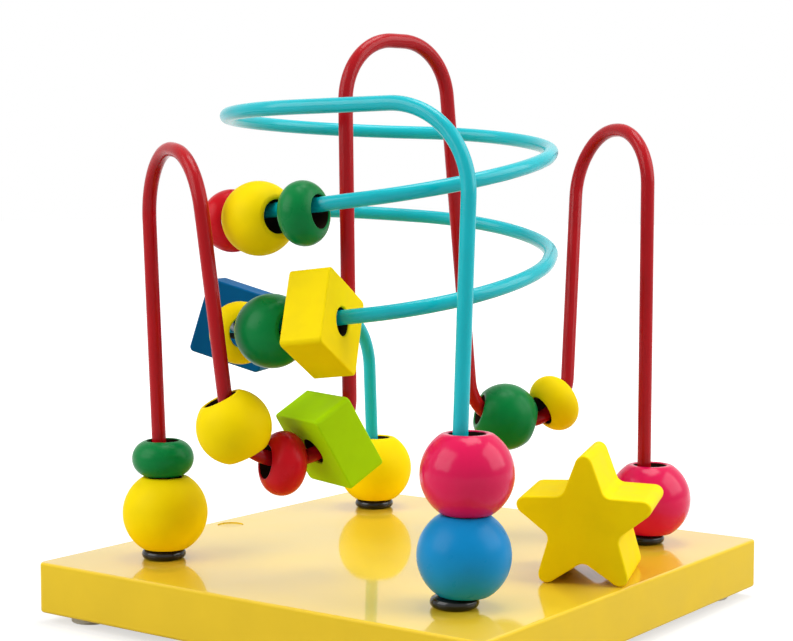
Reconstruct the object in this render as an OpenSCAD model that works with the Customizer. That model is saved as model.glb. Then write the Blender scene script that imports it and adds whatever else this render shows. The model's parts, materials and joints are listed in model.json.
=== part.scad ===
// Bead maze: a lacquered board, two bent wires crossing over it and eighteen wooden beads that slide on them.
// Millimetres, +Z up. The pieces are drawn about the middle of the board's underside, and placed() moves
// them all at the end, so that the origin is the middle of the whole footprint, on the floor.
// The four feet of the wires stand on the board's diagonals: left, front, right and rear.

/* [Board] */
// Side of the square board
board_side = 156; // [150:1:180]
// Thickness of the board
board_t = 15; // [13:0.5:20]
// Rounding of the board's upright corners
board_corner_r = 2; // [2:0.5:8]
// Distance of each wire foot from the board's two middle lines
foot_inset = 52; // [50:0.5:54]
// Depth of the wire holes in the board
wire_hole_depth = 11; // [6:0.5:12]
// Diameter of the wire holes in the board
wire_hole_d = 5; // [5:0.1:6]

/* [Foot pads] */
// Diameter of a foot pad
pad_d = 12; // [8:1:16]
// Height of a foot pad
pad_h = 3; // [2:0.5:5]
// Distance of a pad's centre from the board's edge
pad_inset = 11; // [9:1:20]

/* [Wires] */
// Diameter of the painted wire
wire_d = 4.2; // [3.8:0.1:4.4]
// Diameter of the thicker shank that holds a wire's end in the board
shank_d = 4.6; // [4.6:0.1:4.8]
// Diameter of a ferrule
ferrule_d = 13; // [12:0.5:15]
// Height of a ferrule
ferrule_h = 3; // [2.5:0.1:3]
// Bore of a ferrule
ferrule_bore = 5.2; // [5:0.1:6]

/* [Red wire] */
// Height of the left arch above the board, at its outer and inner corner
left_arch_h = [123, 118]; // [110:0.5:130]
// Height of the low dip on the left
left_dip_h = 33.6; // [33:0.1:35]
// Height of the tall middle arch
tall_arch_h = [151.5, 152]; // [140:0.5:160]
// Height of the low dip on the right
right_dip_h = [35.6, 36.6]; // [35:0.1:38]
// Height of the right arch, at its inner and outer corner
right_arch_h = [128, 127.5]; // [115:0.5:135]
// Bend radius of the left arch
left_arch_r = 19; // [17.5:0.1:19.2]
// Bend radius of the tall arch
tall_arch_r = 18.5; // [17:0.1:18.8]
// Bend radius of the right arch
right_arch_r = 17.8; // [16.5:0.1:17.8]
// Bend radius of the left dip
left_dip_r = 16.5; // [15:0.1:16.5]
// Bend radius of the right dip
right_dip_r = 15.5; // [14.5:0.1:15.5]

/* [Teal wire] */
// Radius of the coil
coil_r = 48; // [46:0.5:48.5]
// Bend radius of the coil's quarter turns
coil_bend_r = 46.5; // [44:0.5:46.5]
// Height of the front leg's bend above the board
front_leg_h = 132; // [125:0.5:140]
// Bend radius at the top of the front leg
front_leg_r = 24.5; // [18:0.5:26]
// Height of the rear leg's bend above the board
rear_leg_h = 70; // [66:0.5:76]
// Bend radius at the top of the rear leg
rear_leg_r = 22; // [16:0.5:24]

/* [Beads] */
// Diameter of a large ball
ball_d = 25; // [24:0.5:26]
// Height of a large ball between its flats
ball_h = 21.2; // [20:0.1:22]
// Bore of a large ball
ball_bore = 10; // [9.5:0.1:11]
// Diameter of a small ball
small_ball_d = 21; // [20:0.5:21]
// Height of a small ball between its flats
small_ball_h = 17.4; // [16.5:0.1:17.4]
// Diameter of a rondelle
rondelle_d = 18.2; // [17.2:0.1:18.2]
// Thickness of a rondelle
rondelle_h = 11; // [10.2:0.1:11]
// Bore of a small ball or a rondelle
bead_bore = 9.5; // [9.5:0.1:10]
// Side of a square tile
tile_side = 23; // [22:0.5:23]
// Thickness of a square tile
tile_t = 12.5; // [11.5:0.1:12.5]
// Bore of a square tile
tile_bore = 8; // [8:0.1:8.6]
// Rounding of a tile's four long edges
tile_corner_r = 1.5; // [1:0.1:3]
// Easing of the edge of every bore
bore_edge = 0.4; // [0.2:0.1:0.5]
// Gap left between neighbours that lie on each other
rest_gap = 0.1; // [0.05:0.05:0.2]

/* [Star] */
// Radius of the star to its rounded tips
star_r = 19.7; // [18:0.1:21]
// Radius of the star's notches
star_notch_r = 10; // [9:0.1:11]
// Rounding of the star's tips
star_tip_r = 2.4; // [2:0.1:3]
// Thickness of the star
star_t = 30; // [28:0.5:32]
// Turn of the star on the board
star_turn = 21; // [0:1:30]
// Diameter of the pins that hold the star
star_pin_d = 3; // [2:0.5:3]
// Length of the pins that hold the star
star_pin_l = 16; // [12:1:18]

/* [Hidden] */
$fn = 64;
deck = board_t;
fit = 0.1;
// Lap of a wire's straight stretch into its bends, and how much a bend swells to take it
lap = 0.5;
bend_swell = 0.04;
// Gap under a shank, and how far it stands up inside its ferrule
shank_gap = 0.5;
shank_rise = 1;

// Places on the board, each as x and y
star_at = [61.208, 3.2];
plug_at = [-70.5, -1.5];
plug_d = 8.5;
plug_depth = 8;
plug_recess = 0.3;

// The four corners that hold a foot, as signs of x and y
LEFT = [-1, -1];
FRONT = [1, -1];
RIGHT = [1, 1];
REAR = [-1, 1];

// Corners of the red wire seen from above, from the left foot to the right foot
left_arch_at = [[-60.5, -49], [-24.5, -67]];
left_dip_at = [[-13, -65], [3.8, -33.9]];
tall_arch_at = [[0.4, -31.7], [8, 6]];
right_dip_at = [[5, 27.5], [24, 52]];
right_arch_at = [[15, 74.5], [50.5, 55.5]];

// The coil winds about this line, and touches the coil's circle on its straights at these angles
coil_at = [-4.5, -4];
coil_tangents = [-85, -154, -244, -334, -424, -514, -604, -694, -784, -897];
// Heights of the coil's nine bends, as the hand-bent coil hangs a little low at the front
coil_h = [131, 129, 126, 112, 100, 104, 97, 80, 66];
front_leg_at = [52, -44.5];
rear_leg_at = [-51, 47];

// Where two tangents of the coil meet
function coil_corner(k) =
    let (middle = (coil_tangents[k] + coil_tangents[k + 1]) / 2)
    let (half = (coil_tangents[k] - coil_tangents[k + 1]) / 2)
    let (reach = coil_r / cos(half))
    [coil_at.x + reach * cos(middle), coil_at.y + reach * sin(middle), deck + coil_h[k]];

function raised(at, h) = [at.x, at.y, deck + h];
function foot(side) = raised(foot_inset * side, 0);

red_points = [
    foot(LEFT),
    raised(left_arch_at[0], left_arch_h[0]), raised(left_arch_at[1], left_arch_h[1]),
    raised(left_dip_at[0], left_dip_h), raised(left_dip_at[1], left_dip_h),
    raised(tall_arch_at[0], tall_arch_h[0]), raised(tall_arch_at[1], tall_arch_h[1]),
    raised(right_dip_at[0], right_dip_h[0]), raised(right_dip_at[1], right_dip_h[1]),
    raised(right_arch_at[0], right_arch_h[0]), raised(right_arch_at[1], right_arch_h[1]),
    foot(RIGHT)
];
red_radii = [
    0, left_arch_r, left_arch_r, left_dip_r, left_dip_r, tall_arch_r, tall_arch_r,
    right_dip_r, right_dip_r, right_arch_r, right_arch_r, 0
];
teal_points = concat(
    [foot(FRONT), raised(front_leg_at, front_leg_h)],
    [for (k = [0 : len(coil_h) - 1]) coil_corner(k)],
    [raised(rear_leg_at, rear_leg_h), foot(REAR)]
);
teal_radii = concat(
    [0, front_leg_r],
    [for (h = coil_h) coil_bend_r],
    [rear_leg_r, 0]
);
red = [red_points, red_radii];
teal = [teal_points, teal_radii];

// Bends that beads ride on, as places in a wire's list of corners
left_dip_first = 3;
left_dip_last = 4;
right_dip_last = 8;
upper_turn = 6;
lower_turn = 10;

// How each bead lies on its bend: degrees along it, how far it hangs below the wire, then spin, nod and yaw
left_dip_ball_lie = [19.5, -0.6, 0, 1, 0];
left_dip_rondelle_lie = [83.5, 1.1, 0, -7, 0];
left_dip_tile_lie = [40.5, -1.3, -4, -9.5, 5];
right_dip_ball_lie = [-27, -0.1, 0, 8, 0];
right_dip_rondelle_lie = [42.5, -1.3, 0, -18, 0];
upper_green_lie = [17.5, 1.9, 0, 0, 0];
upper_ball_lie = [38, 1.9, 0, 0, 0];
upper_red_lie = [58.5, 1.9, 0, 0, 0];
lower_yellow_tile_lie = [12.5, 1.1, -30, 0, 0];
lower_ball_lie = [34.5, 1.9, 0, 0, 0];
lower_rondelle_lie = [57, 1.9, 0, 0, 0];
lower_blue_tile_lie = [92, 0.2, -17, 0, 0];

// How far each bead on a wire foot leans aside on its loose wire, as x and y
left_foot_shift = [0.4, 0.3];
left_topped_shift = [-0.4, 0.4];
front_first_shift = [1.9, 1.6];
front_second_shift = [2.1, 2.6];
right_foot_shift = [1.5, 1.2];
rear_foot_shift = [0.3, 0];

// Geometry of one bend of a wire
function unit(v) = v / norm(v);
function leg_in(wire, i) = unit(wire[0][i] - wire[0][i - 1]);
function leg_out(wire, i) = unit(wire[0][i + 1] - wire[0][i]);
function turned(wire, i) = acos(leg_in(wire, i) * leg_out(wire, i));
function cut_back(wire, i) = wire[1][i] == 0 ? 0 : wire[1][i] * tan(turned(wire, i) / 2);
function bend_start(wire, i) = wire[0][i] - cut_back(wire, i) * leg_in(wire, i);
function bend_end(wire, i) = wire[0][i] + cut_back(wire, i) * leg_out(wire, i);
function bend_centre(wire, i) =
    wire[0][i] + unit(leg_out(wire, i) - leg_in(wire, i)) * wire[1][i] / cos(turned(wire, i) / 2);
function bend_arm(wire, i) = unit(bend_start(wire, i) - bend_centre(wire, i));
function bend_axis(wire, i) = cross(bend_arm(wire, i), leg_in(wire, i));
function bend_point(wire, i, a) =
    bend_centre(wire, i) + wire[1][i] * (cos(a) * bend_arm(wire, i) + sin(a) * leg_in(wire, i));
function bend_way(wire, i, a) = cos(a) * leg_in(wire, i) - sin(a) * bend_arm(wire, i);

// Matrix that stands the axes x, y and z at a point
function stand(x, y, z, at) = [[x.x, y.x, z.x, at.x], [x.y, y.y, z.y, at.y], [x.z, y.z, z.z, at.z]];

// Level axis across a way, and the axis square to both that points up
function across(way) = norm(cross([0, 0, 1], way)) < 0.001 ? [1, 0, 0] : unit(cross([0, 0, 1], way));
function above(way) = cross(way, across(way));

// A round bar between two points, which laps a little into what it meets at each end
module bar(from, to, d) {
    way = unit(to - from);
    multmatrix(stand(across(way), above(way), way, from - lap * way))
        cylinder(d = d, h = norm(to - from) + 2 * lap);
}

// A wire bent along its corners: straight bars joined by arcs
module bent_wire(wire, d) {
    last = len(wire[0]) - 1;
    for (i = [0 : last - 1]) {
        from = i == 0 ? wire[0][0] : bend_end(wire, i);
        to = i == last - 1 ? wire[0][last] : bend_start(wire, i + 1);
        bar(from, to, d);
    }
    for (i = [1 : last - 1])
        multmatrix(stand(bend_arm(wire, i), leg_in(wire, i), bend_axis(wire, i), bend_centre(wire, i)))
            rotate_extrude(angle = turned(wire, i))
                translate([wire[1][i], 0])
                    circle(d = d + bend_swell);
}

// The straight shank of a wire's end, from just above the board down its hole
module shank(side) {
    translate(foot(side) - [0, 0, wire_hole_depth - shank_gap])
        cylinder(d = shank_d, h = wire_hole_depth - shank_gap + shank_rise);
}

// Puts a bead on a bend the way it lies there, with its axis back along the wire
module on_bend(wire, i, lie) {
    way = -bend_way(wire, i, lie[0]);
    at = bend_point(wire, i, lie[0]) - lie[1] * above(way);
    multmatrix(stand(across(way), above(way), way, at))
        rotate([0, 0, lie[2]])
            rotate([lie[3], lie[4], 0])
                children();
}

// Puts a bead upright over a wire foot, at a height above the board and shifted on the loose wire
module on_foot(side, h, shift) {
    translate(foot(side) + [shift.x, shift.y, h])
        children();
}

// A bore along Z through a bead, with eased edges
module bore(d, h) {
    cylinder(d = d, h = h + 2, center = true);
    for (end = [-1, 1])
        translate([0, 0, end * (h / 2 - bore_edge)])
            rotate([end < 0 ? 180 : 0, 0, 0])
                cylinder(d1 = d, d2 = d + 4 * bore_edge, h = 2 * bore_edge);
}

// A turned ball with a flat at each end of its bore
module ball(d, h, bore_d) {
    difference() {
        intersection() {
            sphere(d = d);
            cube([d + 2, d + 2, h], center = true);
        }
        bore(bore_d, h);
    }
}

module large_ball() {
    ball(ball_d, ball_h, ball_bore);
}

module small_ball() {
    ball(small_ball_d, small_ball_h, bead_bore);
}

// A flattened bead: a full-round rim turned about its bore
module rondelle() {
    difference() {
        rotate_extrude()
            intersection() {
                translate([(rondelle_d - rondelle_h) / 2, 0])
                    circle(d = rondelle_h);
                translate([0, -rondelle_h])
                    square([rondelle_d, 2 * rondelle_h]);
            }
        cylinder(d = bead_bore, h = rondelle_h + 2, center = true);
    }
}

// A square block with rounded long edges, bored through its square face
module tile() {
    inner = tile_side - 2 * tile_corner_r;
    difference() {
        linear_extrude(tile_t, center = true)
            union() {
                square([tile_side, inner], center = true);
                square([inner, tile_side], center = true);
                for (x = [-1, 1], y = [-1, 1])
                    translate([x * inner / 2, y * inner / 2])
                        circle(r = tile_corner_r);
            }
        bore(tile_bore, tile_t);
    }
}

// Heights of the beads that stand on the wire feet
first_h = ferrule_h + rest_gap + ball_h / 2;
second_h = first_h + ball_h + rest_gap;
rondelle_end = sqrt(pow(rondelle_h / 2, 2) - pow((bead_bore - rondelle_d + rondelle_h) / 2, 2));
topped_h = first_h + ball_h / 2 + rest_gap + rondelle_end;

// Board and what is fixed to it
module base_board() {
    inner = board_side - 2 * board_corner_r;
    color("#F5D84A")
        difference() {
            linear_extrude(board_t)
                union() {
                    square([board_side, inner], center = true);
                    square([inner, board_side], center = true);
                    for (x = [-1, 1], y = [-1, 1])
                        translate([x * inner / 2, y * inner / 2])
                            circle(r = board_corner_r);
                }
            for (side = [LEFT, FRONT, RIGHT, REAR])
                translate(foot(side) - [0, 0, wire_hole_depth])
                    cylinder(d = wire_hole_d, h = wire_hole_depth + 1);
            translate([plug_at.x, plug_at.y, deck - plug_depth])
                cylinder(d = plug_d, h = plug_depth + 1);
            star_pin_places()
                cylinder(d = star_pin_d + 2 * fit, h = star_pin_l, center = true);
        }
}

module board_plug() {
    color("#EFD04A")
        translate([plug_at.x, plug_at.y, deck - plug_depth])
            cylinder(d = plug_d - 2 * fit, h = plug_depth - plug_recess);
}

module foot_pad(side) {
    reach = board_side / 2 - pad_inset;
    color("#E9E4D6")
        translate([side.x * reach, side.y * reach, -pad_h])
            cylinder(d = pad_d, h = pad_h);
}

// A black washer with a full-round rim, through which a wire enters the board
module ferrule(side) {
    color("#161616")
        translate(foot(side))
            difference() {
                union() {
                    cylinder(d = ferrule_d - ferrule_h, h = ferrule_h);
                    translate([0, 0, ferrule_h / 2])
                        rotate_extrude()
                            translate([(ferrule_d - ferrule_h) / 2, 0])
                                circle(d = ferrule_h);
                }
                translate([0, 0, -1])
                    cylinder(d = ferrule_bore, h = ferrule_h + 2);
            }
}

module red_wire() {
    color("#AE1A24")
        union() {
            bent_wire(red, wire_d);
            shank(LEFT);
            shank(RIGHT);
        }
}

module teal_wire() {
    color("#18B4BA")
        union() {
            bent_wire(teal, wire_d);
            shank(FRONT);
            shank(REAR);
        }
}

// Star block that stands on two of its tips
star_points = 5;
star_step = 180 / star_points;
// Reach of the centre of a tip's rounding, and the height at which the two lower tips just touch the board
tip_reach = star_r - star_tip_r;
star_h = tip_reach * cos(star_step) + star_tip_r;
tip_steps = 6;
// The pins stand a little inside the two tips that the star rests on
star_pin_x = 0.75 * star_r * sin(star_step);

// Where a notch lies, counted round from the upper tip
function star_notch(k) =
    let (way = 90 + star_step * (2 * k + 1))
    star_notch_r * [cos(way), sin(way)];

// Lean of a tip's sides, and the half angle that they leave open for its rounding
tip_side = atan2(star_notch_r * sin(star_step), tip_reach - star_notch_r * cos(star_step));
tip_open = 90 - tip_side;
function star_tip(k) = [
    for (s = [0 : tip_steps])
        let (lean = -tip_open + 2 * tip_open * s / tip_steps)
        let (way = 90 + 2 * star_step * k)
        tip_reach * [cos(way), sin(way)] + star_tip_r * [cos(way + lean), sin(way + lean)]
];

module star_outline() {
    polygon([for (k = [0 : star_points - 1]) each concat(star_tip(k), [star_notch(k)])]);
}

module star_place() {
    translate([star_at.x, star_at.y, deck])
        rotate([0, 0, star_turn])
            children();
}

module star_pin_places() {
    star_place()
        for (x = [-1, 1])
            translate([x * star_pin_x, 0, 0])
                children();
}

module star_block() {
    color("#F4DC1E")
        difference() {
            star_place()
                translate([0, 0, star_h])
                    rotate([90, 0, 0])
                        linear_extrude(star_t, center = true)
                            star_outline();
            star_pin_places()
                cylinder(d = star_pin_d + 2 * fit, h = star_pin_l + 2 * fit, center = true);
        }
}

module star_pins() {
    color("#C9CCCE")
        star_pin_places()
            cylinder(d = star_pin_d, h = star_pin_l - 2 * fit, center = true);
}

// Beads on the wire feet
module left_foot_yellow_ball() {
    color("#F9DD0B")
        on_foot(LEFT, first_h, left_foot_shift)
            large_ball();
}

module left_foot_green_rondelle() {
    color("#0F8C3C")
        on_foot(LEFT, topped_h, left_topped_shift)
            rondelle();
}

module front_foot_blue_ball() {
    color("#1C86CC")
        on_foot(FRONT, first_h, front_first_shift)
            large_ball();
}

module front_foot_pink_ball() {
    color("#E4184F")
        on_foot(FRONT, second_h, front_second_shift)
            large_ball();
}

module right_foot_pink_ball() {
    color("#E0184C")
        on_foot(RIGHT, first_h, right_foot_shift)
            large_ball();
}

module rear_foot_yellow_ball() {
    color("#F9DD0B")
        on_foot(REAR, first_h, rear_foot_shift)
            large_ball();
}

// Beads in the dips of the red wire
module left_dip_yellow_ball() {
    color("#F9DD0B")
        on_bend(red, left_dip_first, left_dip_ball_lie)
            small_ball();
}

module left_dip_red_rondelle() {
    color("#C81F2A")
        on_bend(red, left_dip_first, left_dip_rondelle_lie)
            rondelle();
}

module left_dip_lime_tile() {
    color("#9FCD12")
        on_bend(red, left_dip_last, left_dip_tile_lie)
            tile();
}

module right_dip_green_ball() {
    color("#129A3A")
        on_bend(red, right_dip_last, right_dip_ball_lie)
            small_ball();
}

module right_dip_yellow_rondelle() {
    color("#F9DD0B")
        on_bend(red, right_dip_last, right_dip_rondelle_lie)
            rondelle();
}

// Beads on the upper turn of the coil
module upper_turn_green_rondelle() {
    color("#0F8C3C")
        on_bend(teal, upper_turn, upper_green_lie)
            rondelle();
}

module upper_turn_yellow_ball() {
    color("#F9DD0B")
        on_bend(teal, upper_turn, upper_ball_lie)
            small_ball();
}

module upper_turn_red_rondelle() {
    color("#D3222B")
        on_bend(teal, upper_turn, upper_red_lie)
            rondelle();
}

// Beads on the lower turn of the coil
module lower_turn_yellow_tile() {
    color("#F6D90C")
        on_bend(teal, lower_turn, lower_yellow_tile_lie)
            tile();
}

module lower_turn_green_ball() {
    color("#1D9A40")
        on_bend(teal, lower_turn, lower_ball_lie)
            small_ball();
}

module lower_turn_yellow_rondelle() {
    color("#F9DD0B")
        on_bend(teal, lower_turn, lower_rondelle_lie)
            rondelle();
}

module lower_turn_blue_tile() {
    color("#0A4F8C")
        on_bend(teal, lower_turn, lower_blue_tile_lie)
            tile();
}

// The star's arm reaches past the board's edge, so the footprint's middle lies beside the board's middle
star_arm = tip_reach * cos(star_step / 2) + star_tip_r;
star_reach = star_at.x + star_arm * cos(star_turn) + star_t / 2 * sin(star_turn);
overhang = max(0, star_reach - board_side / 2);

module placed() {
    translate([-overhang / 2, 0, pad_h])
        children();
}

placed() base_board();
placed() board_plug();
placed() foot_pad(LEFT);  // foot_pad_left
placed() foot_pad(FRONT);  // foot_pad_front
placed() foot_pad(RIGHT);  // foot_pad_right
placed() foot_pad(REAR);  // foot_pad_rear
placed() ferrule(LEFT);  // ferrule_left
placed() ferrule(FRONT);  // ferrule_front
placed() ferrule(RIGHT);  // ferrule_right
placed() ferrule(REAR);  // ferrule_rear
placed() red_wire();
placed() teal_wire();
placed() star_block();
placed() star_pins();
placed() left_foot_yellow_ball();
placed() left_foot_green_rondelle();
placed() front_foot_blue_ball();
placed() front_foot_pink_ball();
placed() right_foot_pink_ball();
placed() rear_foot_yellow_ball();
placed() left_dip_yellow_ball();
placed() left_dip_red_rondelle();
placed() left_dip_lime_tile();
placed() right_dip_green_ball();
placed() right_dip_yellow_rondelle();
placed() upper_turn_green_rondelle();
placed() upper_turn_yellow_ball();
placed() upper_turn_red_rondelle();
placed() lower_turn_yellow_tile();
placed() lower_turn_green_ball();
placed() lower_turn_yellow_rondelle();
placed() lower_turn_blue_tile();
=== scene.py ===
"""Looks of the bead maze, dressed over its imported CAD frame.

The board with its fittings, the wires, the star and the eighteen beads are modelled anew where their CAD
nodes stand. The star's pins keep their CAD shape.
"""

import json
import math

import bmesh
import bpy
import numpy as np
from mathutils import Matrix, Vector

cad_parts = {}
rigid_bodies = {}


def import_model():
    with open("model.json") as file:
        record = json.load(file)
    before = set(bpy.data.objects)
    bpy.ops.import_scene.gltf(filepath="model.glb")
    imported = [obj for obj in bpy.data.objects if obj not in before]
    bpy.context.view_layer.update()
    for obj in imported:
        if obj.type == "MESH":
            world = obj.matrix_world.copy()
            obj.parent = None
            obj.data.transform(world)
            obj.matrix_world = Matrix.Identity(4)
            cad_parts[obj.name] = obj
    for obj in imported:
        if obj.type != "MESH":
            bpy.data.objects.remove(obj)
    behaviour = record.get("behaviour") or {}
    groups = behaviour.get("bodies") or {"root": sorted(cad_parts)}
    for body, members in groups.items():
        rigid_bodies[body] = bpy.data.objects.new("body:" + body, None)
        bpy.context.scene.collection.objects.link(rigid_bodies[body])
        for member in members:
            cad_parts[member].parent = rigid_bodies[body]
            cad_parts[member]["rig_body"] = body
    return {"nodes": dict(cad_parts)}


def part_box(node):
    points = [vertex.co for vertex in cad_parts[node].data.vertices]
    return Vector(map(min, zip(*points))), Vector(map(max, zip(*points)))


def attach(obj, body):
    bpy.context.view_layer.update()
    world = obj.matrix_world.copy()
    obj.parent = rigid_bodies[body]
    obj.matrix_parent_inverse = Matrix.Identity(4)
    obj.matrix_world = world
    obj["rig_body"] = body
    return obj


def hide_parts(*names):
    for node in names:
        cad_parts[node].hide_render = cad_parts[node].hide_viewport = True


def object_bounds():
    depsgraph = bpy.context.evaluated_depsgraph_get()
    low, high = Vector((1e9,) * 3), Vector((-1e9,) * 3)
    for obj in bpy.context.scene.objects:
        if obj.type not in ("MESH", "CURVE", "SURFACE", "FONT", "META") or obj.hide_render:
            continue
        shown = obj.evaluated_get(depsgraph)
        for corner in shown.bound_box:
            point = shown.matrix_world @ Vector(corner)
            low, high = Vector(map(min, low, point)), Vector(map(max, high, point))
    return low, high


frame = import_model()
CAD_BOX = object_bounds()

bl_info = {
    "name": "Bead Maze",
    "version": (1, 0, 0),
    "blender": (4, 5, 0),
    "location": "View3D > Sidebar > Bead Maze",
    "description": "Models, paints and lights a bead maze over its packed CAD frame",
    "category": "Object",
}

MM = 0.001

# CAD nodes of the beads, each with the record's slot for its paint
LARGE_BALLS = {
    "left_foot_yellow_ball": "yellow_paint",
    "front_foot_blue_ball": "blue_paint",
    "front_foot_pink_ball": "pink_paint",
    "right_foot_pink_ball": "pink_paint",
    "rear_foot_yellow_ball": "yellow_paint",
}
SMALL_BALLS = {
    "left_dip_yellow_ball": "yellow_paint",
    "right_dip_green_ball": "green_paint",
    "upper_turn_yellow_ball": "yellow_paint",
    "lower_turn_green_ball": "green_paint",
}
RONDELLES = {
    "left_foot_green_rondelle": "green_paint",
    "left_dip_red_rondelle": "red_paint",
    "right_dip_yellow_rondelle": "yellow_paint",
    "upper_turn_green_rondelle": "green_paint",
    "upper_turn_red_rondelle": "red_paint",
    "lower_turn_yellow_rondelle": "yellow_paint",
}
TILES = {
    "left_dip_lime_tile": "lime_paint",
    "lower_turn_yellow_tile": "yellow_paint",
    "lower_turn_blue_tile": "navy_paint",
}
CORNERS = ("left", "front", "right", "rear")

# Corners of the wires in mm from the middle of the board's top, each with its bend radius, as in the CAD
RED_BENDS = (
    ((-60.5, -49.0, 123.0), 19.0),
    ((-24.5, -67.0, 118.0), 19.0),
    ((-13.0, -65.0, 33.6), 16.5),
    ((3.8, -33.9, 33.6), 16.5),
    ((0.4, -31.7, 151.5), 18.5),
    ((8.0, 6.0, 152.0), 18.5),
    ((5.0, 27.5, 35.6), 15.5),
    ((24.0, 52.0, 36.6), 15.5),
    ((15.0, 74.5, 128.0), 17.8),
    ((50.5, 55.5, 127.5), 17.8),
)
FRONT_LEG_BEND = ((52.0, -44.5, 132.0), 24.5)
REAR_LEG_BEND = ((-51.0, 47.0, 70.0), 22.0)
# The coil's straights touch an upright round core at these angles, and it bends between them at these heights
COIL_AXIS = (-4.5, -4.0)
COIL_RADIUS = 48.0
COIL_BEND = 46.5
COIL_TANGENTS = (-85, -154, -244, -334, -424, -514, -604, -694, -784, -897)
COIL_HEIGHTS = (131, 129, 126, 112, 100, 104, 97, 80, 66)

# Fineness of the round meshes
ROUND_STEPS = 64
BALL_RINGS = 40
PROFILE_STEPS = 44
EDGE_STEPS = 4
BEND_STEPS = 28
WIRE_STEPS = 7
WELD = 0.001 * MM
# Play round the plug and the pins, and how far a hole goes past the board's top and a wire's end
HOLE_GAP = 0.1 * MM
DRILL_OVER = 2 * MM
DRILL_UNDER = 0.5 * MM
SHARP_ANGLE = math.radians(25)
SMOOTH_ANGLE = math.radians(30)

# The star has five tips, a fifth of a turn apart
STAR_TIPS = 5
HALF_STEP = math.pi / STAR_TIPS
TIP_STEPS = 10
NOTCH_STEPS = 5

# The photograph's camera, solved from the board's corners and the wires' feet
CAMERA_FROM_DECK = Vector((300.994, -419.722, 107.234)) * MM
CAMERA_TURN = (85.844, 0.0, 36.058)
CAMERA_LENS = 78.31
SENSOR_WIDTH = 36.0

# Soft boxes, each with its place in m, its side in m and its power in W
SOFT_BOXES = {
    "top_box": ((0.05, 0.15, 1.10), 0.55, 5.6),
    "left_box": ((-0.45, -0.78, 0.62), 0.85, 8.2),
    "right_box": ((0.78, 0.40, 0.62), 0.85, 8.2),
}
FILL_LIGHT = 0.2
FLOOR_SIDE = 12.0
# The floor's own glow for the camera: where it rises, in m, and its strength near the object and far off
FLOOR_GLOW = {"From Min": 0.15, "From Max": 0.45, "To Min": 0.62, "To Max": 1.0}
WHITE = (1, 1, 1, 1)


def linear(code):
    """Linear RGBA of an sRGB hex colour such as #F9DD0B."""
    parts = [int(code[i : i + 2], 16) / 255 for i in (1, 3, 5)]
    return tuple(c / 12.92 if c <= 0.04045 else ((c + 0.055) / 1.055) ** 2.4 for c in parts) + (1.0,)


def length(name, description, default):
    """A length property of the sizes group."""
    return bpy.props.FloatProperty(
        name=name, description=description, default=default, min=0.0, unit="LENGTH", precision=5
    )


def colour(name, description, code):
    """A colour property of the colours group, given as sRGB hex."""
    return bpy.props.FloatVectorProperty(
        name=name, description=description, default=linear(code), size=4, min=0.0, max=1.0, subtype="COLOR"
    )


class BeadMazeSizes(bpy.types.PropertyGroup):
    """The wires' thickness, and the roundings that dress the CAD frame's plain forms."""

    board_corner: length("Board corner", "Rounding of the board's upright corners", 2.0 * MM)
    board_edge: length("Board edge", "Rounding of the board's upper and lower edges", 0.9 * MM)
    hole_edge: length("Hole edge", "Easing of the plug's rim and its hole", 0.25 * MM)
    pad_edge: length("Pad edge", "Rounding of the foot pads", 0.8 * MM)
    ferrule_edge: length("Ferrule edge", "Easing of the ferrules' bores", 0.3 * MM)
    wire: length("Wire", "Thickness of the coated wires", 4.2 * MM)
    bead_edge: length("Bead edge", "Easing round the bores of balls and rondelles", 0.45 * MM)
    tile_corner: length("Tile corner", "Rounding of the tiles' four long edges", 1.5 * MM)
    tile_edge: length("Tile edge", "Rounding of the tiles' square faces and bores", 0.55 * MM)
    star_tip: length("Star tip", "Rounding of the star's tips", 2.4 * MM)
    star_notch: length("Star notch", "Reach of the soft rounding in the star's notches", 1.7 * MM)
    star_edge: length("Star edge", "Rounding of the star's front and back edges", 0.6 * MM)


class BeadMazeColours(bpy.types.PropertyGroup):
    """Colours of the finishes."""

    board_lacquer: colour("Board lacquer", "Stained and lacquered board", "#F2CC30")
    plug_wood: colour("Plug", "Lacquered plug in the board", "#E2BE34")
    foot_pad: colour("Foot pad", "Rubber pads under the board", "#E4DFD2")
    ferrule_black: colour("Ferrule", "Black ferrules at the wires' feet", "#141415")
    red_wire_paint: colour("Red wire", "Coat of the red wire", "#B20E18")
    teal_wire_paint: colour("Teal wire", "Coat of the teal wire", "#04BBC6")
    yellow_paint: colour("Yellow", "Yellow beads and the star", "#FEE002")
    green_paint: colour("Green", "Green beads", "#027E3C")
    blue_paint: colour("Blue", "Blue ball", "#0E8CCC")
    navy_paint: colour("Navy", "Navy tile", "#005C92")
    pink_paint: colour("Pink", "Pink balls", "#E00C52")
    red_paint: colour("Red", "Red rondelles", "#D21422")
    lime_paint: colour("Lime", "Lime tile", "#AEE006")
    # The bores' near-black brown is bare wood darkened as painted shade deep in the bores
    bore_wood_and_shade: colour("Bore", "Bare wood inside the beads' bores, darkened as painted shade", "#2A1A0E")
    # The pins' dark grey is painted shade, so that they sink in the shade under the star
    steel_pin: colour("Pins", "Pins under the star, darkened as painted shade", "#5A5450")
    floor_grey: colour("Floor", "Floor under the maze", "#B4B4B4")


# Selecting and shaping


def select_only(piece):
    """Leaves object mode with one piece selected, because an operator acts on all that is selected."""
    if bpy.context.mode != "OBJECT":
        bpy.ops.object.mode_set(mode="OBJECT")
    bpy.ops.object.select_all(action="DESELECT")
    if piece:
        piece.select_set(True)
        bpy.context.view_layer.objects.active = piece


def start():
    """Makes ready for a new primitive: object mode with nothing selected."""
    select_only(None)


def edit():
    """Opens the new primitive, with its size and place put in its mesh, for shaping."""
    bpy.ops.object.transform_apply(location=True, rotation=True, scale=True)
    bpy.ops.object.mode_set(mode="EDIT")
    bpy.ops.mesh.select_all(action="SELECT")


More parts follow.
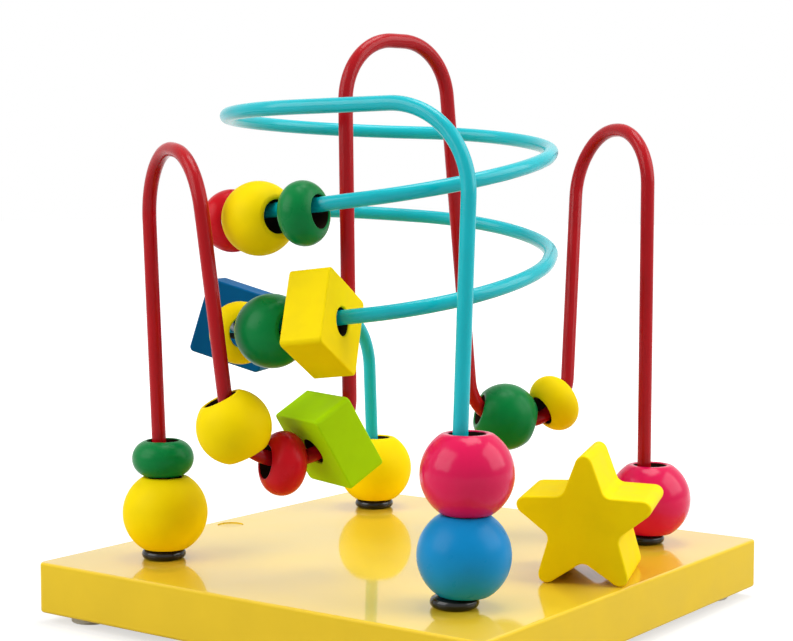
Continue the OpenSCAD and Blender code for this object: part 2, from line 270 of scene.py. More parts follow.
def pick(kind, wanted):
    """Selects the wanted vertices, edges or faces of the mesh in edit mode."""
    bpy.ops.mesh.select_mode(type=kind)
    bpy.ops.mesh.select_all(action="DESELECT")
    mesh = bpy.context.object.data
    shape = bmesh.from_edit_mesh(mesh)
    for part in {"VERT": shape.verts, "EDGE": shape.edges, "FACE": shape.faces}[kind]:
        if wanted(part):
            part.select_set(True)
    shape.select_flush_mode()
    bmesh.update_edit_mesh(mesh)


def round_edges(width):
    """Rounds every sharp edge of the mesh in edit mode."""
    bpy.ops.mesh.select_mode(type="EDGE")
    bpy.ops.mesh.select_all(action="DESELECT")
    bpy.ops.mesh.edges_select_sharp(sharpness=SHARP_ANGLE)
    bpy.ops.mesh.bevel(offset=width, segments=EDGE_STEPS, profile=0.5, affect="EDGES")


def add_cylinder(low, high):
    """Adds an upright cylinder that fills a box, and opens it for shaping."""
    start()
    bpy.ops.mesh.primitive_cylinder_add(
        vertices=ROUND_STEPS,
        radius=(high.x - low.x) / 2,
        depth=high.z - low.z,
        location=(low + high) / 2,
    )
    edit()


def add_rim_profile(reach, rim, inner):
    """Opens a round profile of radius rim that ends at reach, cut off at inner, with its cut ends picked."""
    start()
    bpy.ops.mesh.primitive_circle_add(
        vertices=PROFILE_STEPS,
        radius=rim,
        location=(reach - rim, 0, 0),
        rotation=(math.pi / 2, 0, 0),
    )
    edit()
    bpy.ops.mesh.bisect(plane_co=(inner, 0, 0), plane_no=(1, 0, 0), clear_inner=True, threshold=WELD)
    pick("VERT", lambda vert: vert.co.x < inner + WELD)


def turn_profile():
    """Spins the profile in edit mode about Z into a closed round body."""
    bpy.ops.mesh.select_all(action="SELECT")
    bpy.ops.mesh.spin(steps=ROUND_STEPS, angle=math.tau, center=(0, 0, 0), axis=(0, 0, 1))
    bpy.ops.mesh.select_all(action="SELECT")
    bpy.ops.mesh.remove_doubles(threshold=WELD)
    bpy.ops.mesh.normals_make_consistent(inside=False)


def finish_faces(wanted):
    """Gives the wanted faces of the piece in edit mode its second material."""
    pick("FACE", wanted)
    bpy.context.object.active_material_index = 1
    bpy.ops.object.material_slot_assign()


def in_bore(face, radius):
    """True for a face inside a bore along Z."""
    return abs(face.normal.z) < 0.5 and face.calc_center_median().xy.length < 1.002 * radius


def copy_of(master):
    """A copy of a finished piece, selected, with its own mesh."""
    select_only(master)
    bpy.ops.object.duplicate()
    return bpy.context.object


def cut_holes(piece, holes):
    """Bores upright round holes, each given as its bottom point, radius and depth."""
    for bottom, radius, depth in holes:
        start()
        middle = bottom + Vector((0, 0, depth / 2))
        bpy.ops.mesh.primitive_cylinder_add(vertices=ROUND_STEPS, radius=radius, depth=depth, location=middle)
        drill = bpy.context.object
        select_only(piece)
        cut = piece.modifiers.new("hole", "BOOLEAN")
        cut.object = drill
        cut.operation = "DIFFERENCE"
        bpy.ops.object.modifier_apply(modifier=cut.name)
        bpy.data.objects.remove(drill)


def smooth(piece, flat_faces=False):
    """Shades a piece smooth up to its sharp edges. Flat faces keep straight normals up to their roundings."""
    select_only(piece)
    bpy.ops.object.shade_smooth_by_angle(angle=SMOOTH_ANGLE)
    if flat_faces:
        steady = piece.modifiers.new("flat", "WEIGHTED_NORMAL")
        steady.keep_sharp = True
        bpy.ops.object.modifier_apply(modifier=steady.name)


def settle(piece, name, node):
    """Names a finished piece and lets it stand for its CAD node."""
    piece.name = name
    piece.data.name = name
    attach(piece, frame["nodes"][node]["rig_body"])
    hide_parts(node)


# Measuring the frame


def measure(node):
    """Middle of a bored CAD node, the way of its bore, a side square to it, and its reach along and across.

    The bore's way is the axis in which the node's faces share out unlike in the other two.
    """
    mesh = frame["nodes"][node].data
    normals = np.array([face.normal for face in mesh.polygons])
    areas = np.array([face.area for face in mesh.polygons])
    shares, ways = np.linalg.eigh((normals * areas[:, None]).T @ normals)
    odd = 0 if shares[1] - shares[0] > shares[2] - shares[1] else 2
    way = ways[:, odd] * math.copysign(1.0, ways[np.abs(ways[:, odd]).argmax(), odd])
    square = np.abs(normals @ way) < 0.001
    side = normals[np.where(square, areas, 0.0).argmax()]
    low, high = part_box(node)
    middle = (low + high) / 2
    points = np.array([vert.co for vert in mesh.vertices]) - np.array(middle)
    along = points @ way
    out = np.linalg.norm(points - along[:, None] * way, axis=1)
    return {
        "middle": middle,
        "way": Vector(way),
        "side": Vector(side),
        "half": float(np.abs(along).max()),
        "radius": float(out.max()),
        "bore": float(out.min()),
        "half_side": float(np.abs(points @ side).max()),
    }


def standing(at):
    """Matrix that lays a bead modelled about Z where a measured node lies."""
    across = at["way"].cross(at["side"])
    turn = Matrix((at["side"], across, at["way"])).transposed().to_4x4()
    return Matrix.Translation(at["middle"]) @ turn


def string_beads(master, beads):
    """Copies a modelled bead to each of its CAD nodes, painted, and removes the master."""
    for node, slot in beads.items():
        bead = copy_of(master)
        bead.matrix_world = standing(measure(node))
        bpy.ops.object.transform_apply(location=True, rotation=True, scale=True)
        bead.data.materials[0] = bpy.data.materials[PAINTS[slot]]
        settle(bead, "painted_" + node, node)
    bpy.data.objects.remove(master)


def deck_middle():
    """Middle of the board's top."""
    low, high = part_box("base_board")
    return Vector(((low.x + high.x) / 2, (low.y + high.y) / 2, high.z))


def teal_bends():
    """Bends of the teal wire: its front leg, the coil's corners where straights meet, and its rear leg."""
    corners = []
    for first, second, height in zip(COIL_TANGENTS, COIL_TANGENTS[1:], COIL_HEIGHTS):
        middle = math.radians(first + second) / 2
        reach = COIL_RADIUS / math.cos(math.radians(first - second) / 2)
        x = COIL_AXIS[0] + reach * math.cos(middle)
        y = COIL_AXIS[1] + reach * math.sin(middle)
        corners.append(((x, y, height), COIL_BEND))
    return [FRONT_LEG_BEND, *corners, REAR_LEG_BEND]


def pin_holes():
    """Holes for the star's two pins, each as its bottom point, radius and depth."""
    points = np.array([vert.co for vert in frame["nodes"]["star_pins"].data.vertices])
    left = points[:, 0] < (points[:, 0].min() + points[:, 0].max()) / 2
    holes = []
    for pin in (points[left], points[~left]):
        low, high = Vector(pin.min(axis=0)), Vector(pin.max(axis=0))
        foot = Vector(((low.x + high.x) / 2, (low.y + high.y) / 2, low.z - HOLE_GAP))
        holes.append((foot, (high.x - low.x) / 2 + HOLE_GAP, high.z - low.z + 2 * HOLE_GAP))
    return holes


# Materials

# The beads' enamels by slot. The first word of a name is its finish.
PAINTS = {
    "yellow_paint": "Matt yellow enamel on beech",
    "green_paint": "Satin green enamel on beech",
    "blue_paint": "Satin blue enamel on beech",
    "navy_paint": "Matt navy enamel on beech",
    "pink_paint": "Gloss pink enamel on beech",
    "red_paint": "Satin red enamel on beech",
    "lime_paint": "Matt lime enamel on beech",
}
# Roughness limits of each finish, and the strength of its bare reflection
FINISHES = {
    "Matt": ((0.50, 0.60), 0.06),
    "Satin": ((0.26, 0.34), 0.11),
    "Gloss": ((0.15, 0.20), 0.20),
}
# Material of the bores: bare wood painted dark as the shade inside them
BORE = "Beech bores darkened as painted shade"
# Most of a noise texture's values lie between these limits
NOISE_SPAN = {"From Min": 0.3, "From Max": 0.7}


def colours():
    """The colours group of the scene."""
    return bpy.context.scene.bead_maze_colours


def sizes():
    """The sizes group of the scene."""
    return bpy.context.scene.bead_maze_sizes


def add_node(tree, kind, settings=None, links=None):
    """Adds a shader node, sets its options and sockets, and links sockets, by name or number, to outputs."""
    node = tree.nodes.new(kind)
    for name, value in (settings or {}).items():
        if name in node.inputs:
            node.inputs[name].default_value = value
        else:
            setattr(node, name, value)
    for name, output in (links or {}).items():
        tree.links.new(output, node.inputs[name])
    return node


def new_material(name):
    """An empty node material, and its tree."""
    material = bpy.data.materials.new(name)
    material.use_nodes = True
    material.node_tree.nodes.clear()
    return material, material.node_tree


def finish_surface(tree, shader):
    """Links a shader to a new output node."""
    add_node(tree, "ShaderNodeOutputMaterial", links={"Surface": shader.outputs[0]})


def seen_directly(tree):
    """An output that is 1 for camera, mirror and see-through rays, and 0 for the rest."""
    path = add_node(tree, "ShaderNodeLightPath").outputs
    larger = {"operation": "MAXIMUM"}
    seen = add_node(tree, "ShaderNodeMath", larger, {0: path["Is Camera Ray"], 1: path["Is Glossy Ray"]})
    through = {0: seen.outputs[0], 1: path["Is Transmission Ray"]}
    return add_node(tree, "ShaderNodeMath", larger, through).outputs[0]


def coated(name, base, cloud, spread, peel, roughness, shine, coat=(0.0, 0.1)):
    """A sprayed or dipped coat, for paints, lacquer and powder coats.

    cloud and peel are the widths of its slow colour drift and of its fine orange peel, in metres. spread is
    how far the colour drifts in value, roughness a pair of limits, shine the strength of the bare reflection,
    and coat the weight and roughness of a clear top layer.
    """
    material, tree = new_material(name)
    place = add_node(tree, "ShaderNodeTexCoord").outputs["Object"]
    drift = add_node(tree, "ShaderNodeTexNoise", {"Scale": 1 / cloud, "Detail": 3.0}, {"Vector": place})
    value = add_node(
        tree,
        "ShaderNodeMapRange",
        {**NOISE_SPAN, "To Min": 1 - spread, "To Max": 1 + spread},
        {"Value": drift.outputs["Fac"]},
    )
    tint = add_node(
        tree, "ShaderNodeHueSaturation", {"Color": base}, {"Value": value.outputs["Result"]}
    )
    dull = add_node(
        tree,
        "ShaderNodeMapRange",
        {**NOISE_SPAN, "To Min": roughness[0], "To Max": roughness[1]},
        {"Value": drift.outputs["Fac"]},
    )
    grit = add_node(tree, "ShaderNodeTexNoise", {"Scale": 1 / peel, "Detail": 1.0}, {"Vector": place})
    bump = add_node(
        tree,
        "ShaderNodeBump",
        {"Strength": 0.05, "Distance": peel / 20},
        {"Height": grit.outputs["Fac"]},
    )
    shader = add_node(
        tree,
        "ShaderNodeBsdfPrincipled",
        {
            "IOR": 1.5,
            "Specular IOR Level": shine,
            "Coat Weight": coat[0],
            "Coat Roughness": coat[1],
            "Coat IOR": 1.5,
        },
        {
            "Base Color": tint.outputs["Color"],
            "Roughness": dull.outputs["Result"],
            "Normal": bump.outputs["Normal"],
            "Coat Normal": bump.outputs["Normal"],
        },
    )
    finish_surface(tree, shader)
    return material


def make_paints():
    """Enamels of the beads and the star, and the bare wood of the bores with its painted shade, made once for
    all of them.
    """
    if BORE in bpy.data.materials:
        return
    for slot, name in PAINTS.items():
        # Dipped enamel: an even, closed film with a slow drift in its thickness, from matt to a clear shine
        roughness, shine = FINISHES[name.split()[0]]
        coated(name, getattr(colours(), slot), 7 * MM, 0.03, 0.7 * MM, roughness, shine)
    # Bare, dusty beech in the bores, painted dark as the shade that falls deep inside them
    coated(BORE, colours().bore_wood_and_shade, 2 * MM, 0.25, 0.3 * MM, (0.7, 0.9), 0.1)


# Pieces


def modelled_ball(like):
    """A turned ball about Z with a flat at each end of its bore, as large as a CAD node."""
    at = measure(like)
    start()
    bpy.ops.mesh.primitive_uv_sphere_add(segments=ROUND_STEPS, ring_count=BALL_RINGS, radius=at["radius"])
    edit()
    for end in (1, -1):
        bpy.ops.mesh.select_all(action="SELECT")
        bpy.ops.mesh.bisect(
            plane_co=(0, 0, end * at["half"]),
            plane_no=(0, 0, end),
            use_fill=True,
            clear_outer=True,
            threshold=WELD,
        )
    flat = math.sqrt(at["radius"] ** 2 - at["half"] ** 2)
    pick("FACE", lambda face: abs(face.normal.z) > 0.999)
    bpy.ops.mesh.inset(thickness=flat - at["bore"], use_individual=True)
    bpy.ops.mesh.bridge_edge_loops()
    round_edges(sizes().bead_edge)
    return line_and_smooth(at["bore"])


def modelled_rondelle(like):
    """A flattened bead about Z: a full-round rim turned about its bore, as large as a CAD node."""
    at = measure(like)
    wall = at["radius"] - at["bore"]
    rim = (wall**2 + at["half"] ** 2) / (2 * wall)
    add_rim_profile(at["radius"], rim, at["bore"])
    bpy.ops.mesh.edge_face_add()
    turn_profile()
    round_edges(sizes().bead_edge)
    return line_and_smooth(at["bore"])


def modelled_tile(like):
    """A square block about Z with rounded edges, bored through its square face, as large as a CAD node."""
    at = measure(like)
    start()
    side = 2 * at["half_side"]
    bpy.ops.mesh.primitive_cube_add(size=1.0, scale=(side, side, 2 * at["half"]))
    edit()
    pick("EDGE", lambda edge: abs(edge.verts[0].co.z - edge.verts[1].co.z) > at["half"])
    bpy.ops.mesh.bevel(offset=sizes().tile_corner, segments=2 * EDGE_STEPS, profile=0.5, affect="EDGES")
    round_edges(sizes().tile_edge)
    depth = 4 * at["half"]
    cut_holes(bpy.context.object, [(Vector((0, 0, -depth / 2)), at["bore"], depth)])
    bpy.ops.object.mode_set(mode="EDIT")
    pick("EDGE", lambda edge: on_rim(edge, at))
    bpy.ops.mesh.bevel(offset=sizes().tile_edge, segments=EDGE_STEPS, profile=0.5, affect="EDGES")
    return line_and_smooth(at["bore"], flat_faces=True)


def on_rim(edge, at):
    """True for an edge of the two rims of a tile's bore."""
    first, second = edge.verts[0].co, edge.verts[1].co
    level = abs(first.z - second.z) < WELD
    return level and max(first.xy.length, second.xy.length) < 1.01 * at["bore"]


def line_and_smooth(bore, flat_faces=False):
    """Closes the shaping of a bead: slots for its paint and for its bare bore with painted shade, and its
    shading.
    """
    bead = bpy.context.object
    make_paints()
    bead.data.materials.append(bpy.data.materials[PAINTS["yellow_paint"]])
    bead.data.materials.append(bpy.data.materials[BORE])
    finish_faces(lambda face: in_bore(face, bore))
    smooth(bead, flat_faces)
    return bead


class BEADMAZE_OT_board(bpy.types.Operator):
    """Model the lacquered board with its holes and its plug"""

    bl_idname = "bead_maze.board"
    bl_label = "Board"

    def execute(self, context):
        low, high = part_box("base_board")
        start()
        bpy.ops.mesh.primitive_cube_add(size=1.0, location=(low + high) / 2, scale=high - low)
        edit()
        board = bpy.context.object
        thick = high.z - low.z
        pick("EDGE", lambda edge: abs(edge.verts[0].co.z - edge.verts[1].co.z) > thick / 2)
        bpy.ops.mesh.bevel(offset=sizes().board_corner, segments=2 * EDGE_STEPS, affect="EDGES")
        round_edges(sizes().board_edge)
        plug_low, plug_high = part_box("board_plug")
        plug_radius = (plug_high.x - plug_low.x) / 2
        plug_middle = (plug_low + plug_high) / 2
        top = high.z + DRILL_OVER
        plug_foot = Vector((plug_middle.x, plug_middle.y, plug_low.z))
        holes = pin_holes()
        holes.append((plug_foot, plug_radius + HOLE_GAP, top - plug_low.z))
        for corner, wire in zip(CORNERS, ("red_wire", "teal_wire", "red_wire", "teal_wire")):
            at = measure("ferrule_" + corner)
            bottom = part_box(wire)[0].z - DRILL_UNDER
            foot = Vector((at["middle"].x, at["middle"].y, bottom))
            holes.append((foot, at["bore"], top - bottom))
        cut_holes(board, holes)
        stain = colours().board_lacquer
        # Gloss lacquer over a yellow stain: a deep mirror film over an even colour with a trace of grain
        gloss = (0.8, 0.05)
        board.data.materials.append(
            coated("Gloss lacquer on stained top", stain, 30 * MM, 0.02, 1.2 * MM, (0.32, 0.40), 0.2, gloss)
        )
        # Satin lacquer on the sides and below: the same film on sawn edges, which shows no clear image
        board.data.materials.append(
            coated("Satin lacquer on stained sides", stain, 18 * MM, 0.03, 0.9 * MM, (0.35, 0.45), 0.1)
        )
        bpy.ops.object.mode_set(mode="EDIT")
        finish_faces(lambda face: face.normal.z < 0.7)
        smooth(board, flat_faces=True)
        settle(board, "lacquered_board", "base_board")

        add_cylinder(plug_low, plug_high)
        round_edges(sizes().hole_edge)
        plug = bpy.context.object
        # Lacquered end grain: darker and duller than the board, with open pores
        plug.data.materials.append(
            coated(
                "Lacquered plug", colours().plug_wood, 1.5 * MM, 0.08, 0.4 * MM, (0.35, 0.5), 0.2, (0.6, 0.12)
            )
        )
        smooth(plug, flat_faces=True)
        settle(plug, "lacquered_plug", "board_plug")
        return {"FINISHED"}


class BEADMAZE_OT_pads(bpy.types.Operator):
    """Model the rubber pads under the board"""

    bl_idname = "bead_maze.pads"
    bl_label = "Foot pads"

    def execute(self, context):
        # Moulded rubber: matt, slightly mottled, with a fine grain
        rubber = coated("Moulded rubber", colours().foot_pad, 3 * MM, 0.04, 0.35 * MM, (0.6, 0.75), 0.2)
        for corner in CORNERS:
            node = "foot_pad_" + corner
            low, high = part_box(node)
            add_cylinder(low, high)
            pick("FACE", lambda face: face.normal.z < -0.9)
            bpy.ops.mesh.inset(thickness=(high.x - low.x) / 8)
            bpy.ops.mesh.inset(thickness=(high.x - low.x) / 16)
            bpy.ops.transform.translate(value=(0, 0, (high.z - low.z) / 4))
            round_edges(sizes().pad_edge / 2)
            pad = bpy.context.object
            pad.data.materials.append(rubber)
            smooth(pad, flat_faces=True)
            settle(pad, "rubber_pad_" + corner, node)
        return {"FINISHED"}


class BEADMAZE_OT_ferrules(bpy.types.Operator):
    """Model the black ferrules through which the wires enter the board"""

    bl_idname = "bead_maze.ferrules"
    bl_label = "Ferrules"

    def execute(self, context):
        # Moulded black nylon: a hard gloss that shows the lights as short bright strokes
        nylon = coated(
            "Moulded black nylon", colours().ferrule_black, 4 * MM, 0.1, 0.5 * MM, (0.14, 0.2), 0.35
        )
        at = measure("ferrule_left")
        inner = at["radius"] - at["half"]
        add_rim_profile(at["radius"], at["half"], inner)
        bpy.ops.mesh.extrude_vertices_move(TRANSFORM_OT_translate={"value": (at["bore"] - inner, 0, 0)})
        bpy.ops.mesh.edge_face_add()
        turn_profile()
        round_edges(sizes().ferrule_edge)
        master = bpy.context.object
        master.data.materials.append(nylon)
        smooth(master, flat_faces=True)
        for corner in CORNERS:
            node = "ferrule_" + corner
            ferrule = copy_of(master)
            ferrule.location = measure(node)["middle"]
            bpy.ops.object.transform_apply(location=True, rotation=True, scale=True)
            settle(ferrule, "moulded_ferrule_" + corner, node)
        bpy.data.objects.remove(master)
        return {"FINISHED"}


class BEADMAZE_OT_wires(bpy.types.Operator):
    """Draw and bend the two coated wires"""

    bl_idname = "bead_maze.wires"
    bl_label = "Wires"

    def execute(self, context):
        # Each wire's feet, bends and the strength of its bare reflection
        wires = {
            "red_wire": (("left", "right"), RED_BENDS, 0.15),
            "teal_wire": (("front", "rear"), teal_bends(), 0.26),
        }
        for node, (corners, bends, shine) in wires.items():
            slot = node + "_paint"
            name = node.split("_")[0].capitalize() + " powder coat on steel wire"
            feet = [measure("ferrule_" + corner)["middle"] for corner in corners]
            wire = self.bent(node, feet, bends)
            # Powder coat on bent steel: a thick, smooth, glossy skin that softens every highlight
            coat = coated(name, getattr(colours(), slot), 12 * MM, 0.05, 0.8 * MM, (0.17, 0.24), shine)
            wire.data.materials.append(coat)
            smooth(wire)
            settle(wire, "coated_" + node, node)
        return {"FINISHED"}

    @staticmethod
    def bent(node, feet, bends):
        """One round wire from foot to foot, as deep in the board as its CAD node."""
        deck = deck_middle()
        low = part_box(node)[0].z
        corners = [Vector((feet[0].x, feet[0].y, deck.z))]
        corners += [deck + Vector(corner) * MM for corner, bend in bends]
        corners += [Vector((feet[1].x, feet[1].y, deck.z))]
        start()
        bpy.ops.mesh.primitive_plane_add(size=sizes().wire)
        edit()
        bpy.ops.mesh.select_mode(type="VERT")
        bpy.ops.mesh.merge(type="CENTER")
        place = Vector((corners[0].x, corners[0].y, low))
        bpy.ops.transform.translate(value=place)
        bpy.ops.mesh.extrude_vertices_move(TRANSFORM_OT_translate={"value": corners[0] - place})
        place = corners[0]
        for before, corner, after, (_, bend) in zip(corners, corners[1:], corners[2:], bends):
            into = (corner - before).normalized()
            away = (after - corner).normalized()
            turn = into.angle(away)
            axis = into.cross(away).normalized()
            run = bend * MM * math.tan(turn / 2)
            begin = corner - run * into
            centre = begin + bend * MM * axis.cross(into)
            bpy.ops.mesh.extrude_vertices_move(TRANSFORM_OT_translate={"value": begin - place})
            bpy.ops.mesh.spin(steps=BEND_STEPS, angle=-turn, center=centre, axis=axis)
            place = corner + run * away
        bpy.ops.mesh.extrude_vertices_move(TRANSFORM_OT_translate={"value": corners[-1] - place})
        bpy.ops.mesh.extrude_vertices_move(TRANSFORM_OT_translate={"value": (0, 0, low - corners[-1].z)})
        bpy.ops.object.mode_set(mode="OBJECT")
        bpy.ops.object.convert(target="CURVE")
        wire = bpy.context.object
        wire.data.bevel_depth = sizes().wire / 2
        wire.data.bevel_resolution = WIRE_STEPS
        wire.data.use_fill_caps = True
        bpy.ops.object.convert(target="MESH")
        return wire


class BEADMAZE_OT_star(bpy.types.Operator):
    """Model the star block and finish its steel pins"""

    bl_idname = "bead_maze.star"
    bl_label = "Star"

    def execute(self, context):
        node = "star_block"
        mesh = frame["nodes"][node].data
        low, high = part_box(node)
        front = self.facing(mesh)
        round_tip = sizes().star_tip
        drop = math.cos(HALF_STEP)
        reach = (high.z - low.z - round_tip * (1 - drop)) / (1 + drop)
        middle = (low + high) / 2
        middle.z = high.z - reach
        rel = [vert.co - middle for vert in mesh.vertices]
        half_thick = max(abs(co.dot(front)) for co in rel)
        notch = min((co - co.dot(front) * front).length for co in rel)
        # A tip's sides run from its notches to where they would meet, beyond the rounding
        side = Vector((notch * math.cos(HALF_STEP), notch * math.sin(HALF_STEP)))
        meet = self.side_meeting(side, reach - round_tip, round_tip)
        open_half = math.atan2(side.y, meet - side.x)

        start()
        bpy.ops.mesh.primitive_circle_add(vertices=2 * STAR_TIPS, radius=notch, fill_type="NGON")
        edit()
        pick("VERT", self.is_tip)
        bpy.ops.transform.resize(value=(meet / notch, meet / notch, 1), center_override=(0, 0, 0))
        tip_run = round_tip / math.tan(open_half)
        bpy.ops.mesh.bevel(
            offset=tip_run, segments=TIP_STEPS, profile=0.4, affect="VERTICES", clamp_overlap=False
        )
        pick("VERT", lambda vert: vert.co.length < 1.01 * notch)
        bpy.ops.mesh.bevel(
            offset=sizes().star_notch,
            segments=NOTCH_STEPS,
            profile=0.5,
            affect="VERTICES",
            clamp_overlap=False,
        )
        bpy.ops.mesh.select_all(action="SELECT")
        bpy.ops.mesh.extrude_region_move(TRANSFORM_OT_translate={"value": (0, 0, 2 * half_thick)})
        bpy.ops.mesh.select_all(action="SELECT")
        bpy.ops.mesh.normals_make_consistent(inside=False)
        pick("EDGE", lambda edge: abs(edge.verts[0].co.z - edge.verts[1].co.z) < WELD)
        bpy.ops.mesh.bevel(offset=sizes().star_edge, segments=EDGE_STEPS, affect="EDGES")
        bpy.ops.mesh.select_all(action="SELECT")
        bpy.ops.transform.translate(value=(0, 0, -half_thick))
        star = bpy.context.object
        bpy.ops.object.mode_set(mode="OBJECT")
        up = Vector((0, 0, 1))
        turn = Matrix((up.cross(front), up, front)).transposed().to_4x4()
        star.matrix_world = Matrix.Translation(middle) @ turn
        bpy.ops.object.transform_apply(location=True, rotation=True, scale=True)
        cut_holes(star, pin_holes())
        make_paints()
        star.data.materials.append(bpy.data.materials[PAINTS["yellow_paint"]])
        smooth(star, flat_faces=True)
        settle(star, "painted_star", node)

        # Steel pins painted dark as the shade under the star, dull with a cloudy sheen, so that they sink in
        # that shade
        material, tree = new_material("Steel darkened as painted shade")
        place = add_node(tree, "ShaderNodeTexCoord").outputs["Object"]
        cloud = add_node(
            tree, "ShaderNodeTexNoise", {"Scale": 1 / (1.5 * MM), "Detail": 3.0}, {"Vector": place}
        )
        dull = add_node(
            tree,
            "ShaderNodeMapRange",
            {**NOISE_SPAN, "To Min": 0.42, "To Max": 0.58},
            {"Value": cloud.outputs["Fac"]},
        )
        shader = add_node(
            tree,
            "ShaderNodeBsdfPrincipled",
            {"Base Color": colours().steel_pin, "Metallic": 1.0},
            {"Roughness": dull.outputs["Result"]},
        )
        finish_surface(tree, shader)
        pins = frame["nodes"]["star_pins"]
        pins.data.materials.clear()
        pins.data.materials.append(material)
        return {"FINISHED"}

    @staticmethod
    def facing(mesh):
        """The way the star's largest flat faces, taken towards the front."""
        flats = {}
        for face in mesh.polygons:
            way = tuple(round(part, 3) for part in face.normal)
            flats[way] = flats.get(way, Vector()) + face.normal * face.area
        front = max(flats.values(), key=lambda flat: flat.length).normalized()
        return front * -math.copysign(1.0, front.y)

    @staticmethod
    def is_tip(vert):
        """True for the vertices that point at the star's tips, the first of which lies along Y."""
        turn = math.atan2(vert.co.x, vert.co.y) / (2 * HALF_STEP)
        return abs(turn - round(turn)) < 0.1

    @staticmethod
    def side_meeting(side, centre, radius):
        """Where the line from a notch past a tip's rounding meets the tip's axis."""
        lean = math.pi / 2 - math.atan2(side.y, centre - side.x)
        touch = Vector((centre + radius * math.cos(lean), radius * math.sin(lean)))
        return touch.x + touch.y * (touch.x - side.x) / (side.y - touch.y)


class BEADMAZE_OT_balls(bpy.types.Operator):
    """Model the large and small balls and string them on the wires"""

    bl_idname = "bead_maze.balls"
    bl_label = "Balls"

    def execute(self, context):
        for beads in (LARGE_BALLS, SMALL_BALLS):
            string_beads(modelled_ball(next(iter(beads))), beads)
        return {"FINISHED"}


class BEADMAZE_OT_rondelles(bpy.types.Operator):
    """Model the rondelles and string them on the wires"""

    bl_idname = "bead_maze.rondelles"
    bl_label = "Rondelles"

    def execute(self, context):
        string_beads(modelled_rondelle(next(iter(RONDELLES))), RONDELLES)
        return {"FINISHED"}


class BEADMAZE_OT_tiles(bpy.types.Operator):
    """Model the square tiles and string them on the wires"""

    bl_idname = "bead_maze.tiles"
    bl_label = "Tiles"

    def execute(self, context):
        string_beads(modelled_tile(next(iter(TILES))), TILES)
        return {"FINISHED"}


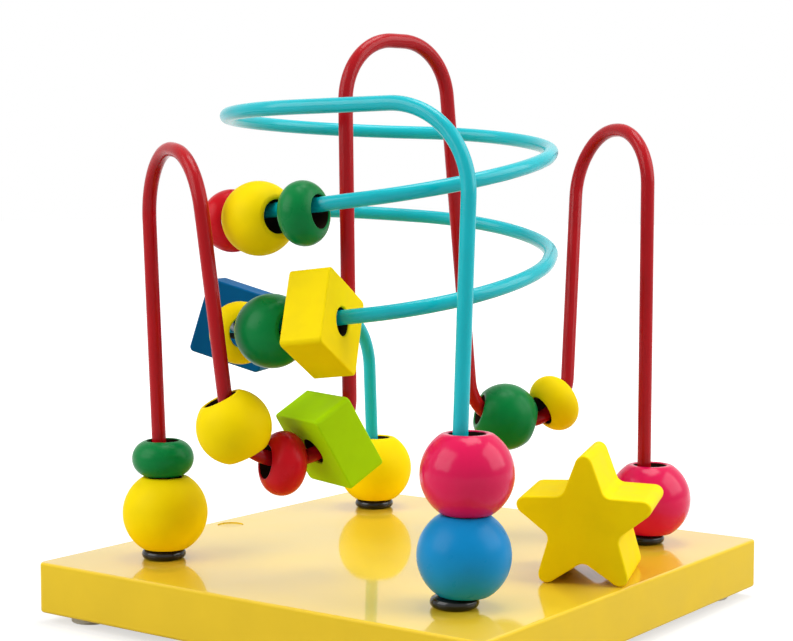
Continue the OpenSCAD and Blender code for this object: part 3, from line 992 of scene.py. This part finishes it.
class BEADMAZE_OT_stage(bpy.types.Operator):
    """Set up the floor, the lights, the white surround and the camera"""

    bl_idname = "bead_maze.stage"
    bl_label = "Stage"

    def execute(self, context):
        self.lay_floor()
        self.light_world()
        middle = (CAD_BOX[0] + CAD_BOX[1]) / 2
        for name, (place, side, power) in SOFT_BOXES.items():
            self.add_soft_box(name, place, side, power, middle)
        start()
        bpy.ops.object.camera_add(
            location=deck_middle() + CAMERA_FROM_DECK,
            rotation=[math.radians(turn) for turn in CAMERA_TURN],
        )
        camera = bpy.context.object
        camera.data.lens = CAMERA_LENS
        camera.data.sensor_width = SENSOR_WIDTH
        context.scene.camera = camera
        context.scene.view_settings.view_transform = "Standard"
        return {"FINISHED"}

    @staticmethod
    def lay_floor():
        """A pale floor that turns to the white of the surround for the camera, and keeps the shadow."""
        start()
        bpy.ops.mesh.primitive_plane_add(size=FLOOR_SIDE, location=(0, 0, CAD_BOX[0].z))
        floor = bpy.context.object
        floor.name = "floor"
        material, tree = new_material("Matt white floor")
        paint = add_node(
            tree, "ShaderNodeBsdfPrincipled", {"Base Color": colours().floor_grey, "Roughness": 0.9}
        )
        place = add_node(tree, "ShaderNodeTexCoord").outputs["Object"]
        far = add_node(tree, "ShaderNodeVectorMath", {"operation": "LENGTH"}, {"Vector": place})
        lift = add_node(tree, "ShaderNodeMapRange", FLOOR_GLOW, {"Value": far.outputs["Value"]})
        strength = add_node(
            tree,
            "ShaderNodeMath",
            {"operation": "MULTIPLY"},
            {0: seen_directly(tree), 1: lift.outputs["Result"]},
        )
        glow = add_node(tree, "ShaderNodeEmission", {"Color": WHITE}, {"Strength": strength.outputs[0]})
        both = add_node(tree, "ShaderNodeAddShader", links={0: paint.outputs[0], 1: glow.outputs[0]})
        finish_surface(tree, both)
        floor.data.materials.append(material)

    @staticmethod
    def light_world():
        """A surround that is white where it is seen or reflected, and a softer fill elsewhere."""
        world = bpy.data.worlds.new("White surround")
        bpy.context.scene.world = world
        world.use_nodes = True
        tree = world.node_tree
        tree.nodes.clear()
        fill = add_node(tree, "ShaderNodeBackground", {"Color": WHITE, "Strength": FILL_LIGHT})
        white = add_node(tree, "ShaderNodeBackground", {"Color": WHITE, "Strength": 1.0})
        surround = add_node(
            tree,
            "ShaderNodeMixShader",
            links={0: seen_directly(tree), 1: fill.outputs[0], 2: white.outputs[0]},
        )
        add_node(tree, "ShaderNodeOutputWorld", links={"Surface": surround.outputs[0]})

    @staticmethod
    def add_soft_box(name, place, side, power, aim):
        """A square soft light that faces a point."""
        start()
        bpy.ops.object.light_add(type="AREA", location=place)
        lamp = bpy.context.object
        lamp.name = name
        lamp.data.shape = "SQUARE"
        lamp.data.size = side
        lamp.data.energy = power
        lamp.rotation_euler = (Vector(place) - aim).to_track_quat("Z", "Y").to_euler()


OPERATORS = (
    BEADMAZE_OT_board,
    BEADMAZE_OT_pads,
    BEADMAZE_OT_ferrules,
    BEADMAZE_OT_wires,
    BEADMAZE_OT_star,
    BEADMAZE_OT_balls,
    BEADMAZE_OT_rondelles,
    BEADMAZE_OT_tiles,
    BEADMAZE_OT_stage,
)


class BEADMAZE_PT_panel(bpy.types.Panel):
    """Sizes, colours and steps of the bead maze"""

    bl_idname = "BEADMAZE_PT_panel"
    bl_label = "Bead Maze"
    bl_space_type = "VIEW_3D"
    bl_region_type = "UI"
    bl_category = "Bead Maze"

    def draw(self, context):
        for group in (context.scene.bead_maze_sizes, context.scene.bead_maze_colours):
            box = self.layout.box()
            for name in group.__annotations__:
                box.prop(group, name)
        for operator in OPERATORS:
            self.layout.operator(operator.bl_idname)


CLASSES = (BeadMazeSizes, BeadMazeColours, *OPERATORS, BEADMAZE_PT_panel)


def register():
    """Registers the classes and hangs the two groups on the scene."""
    for kind in CLASSES:
        bpy.utils.register_class(kind)
    bpy.types.Scene.bead_maze_sizes = bpy.props.PointerProperty(type=BeadMazeSizes)
    bpy.types.Scene.bead_maze_colours = bpy.props.PointerProperty(type=BeadMazeColours)


def unregister():
    """Takes the groups off the scene and unregisters the classes."""
    del bpy.types.Scene.bead_maze_colours
    del bpy.types.Scene.bead_maze_sizes
    for kind in reversed(CLASSES):
        bpy.utils.unregister_class(kind)


def main():
    register()
    bpy.ops.bead_maze.board()
    bpy.ops.bead_maze.pads()
    bpy.ops.bead_maze.ferrules()
    bpy.ops.bead_maze.wires()
    bpy.ops.bead_maze.star()
    bpy.ops.bead_maze.balls()
    bpy.ops.bead_maze.rondelles()
    bpy.ops.bead_maze.tiles()
    bpy.ops.bead_maze.stage()


if __name__ == "__main__":
    main()
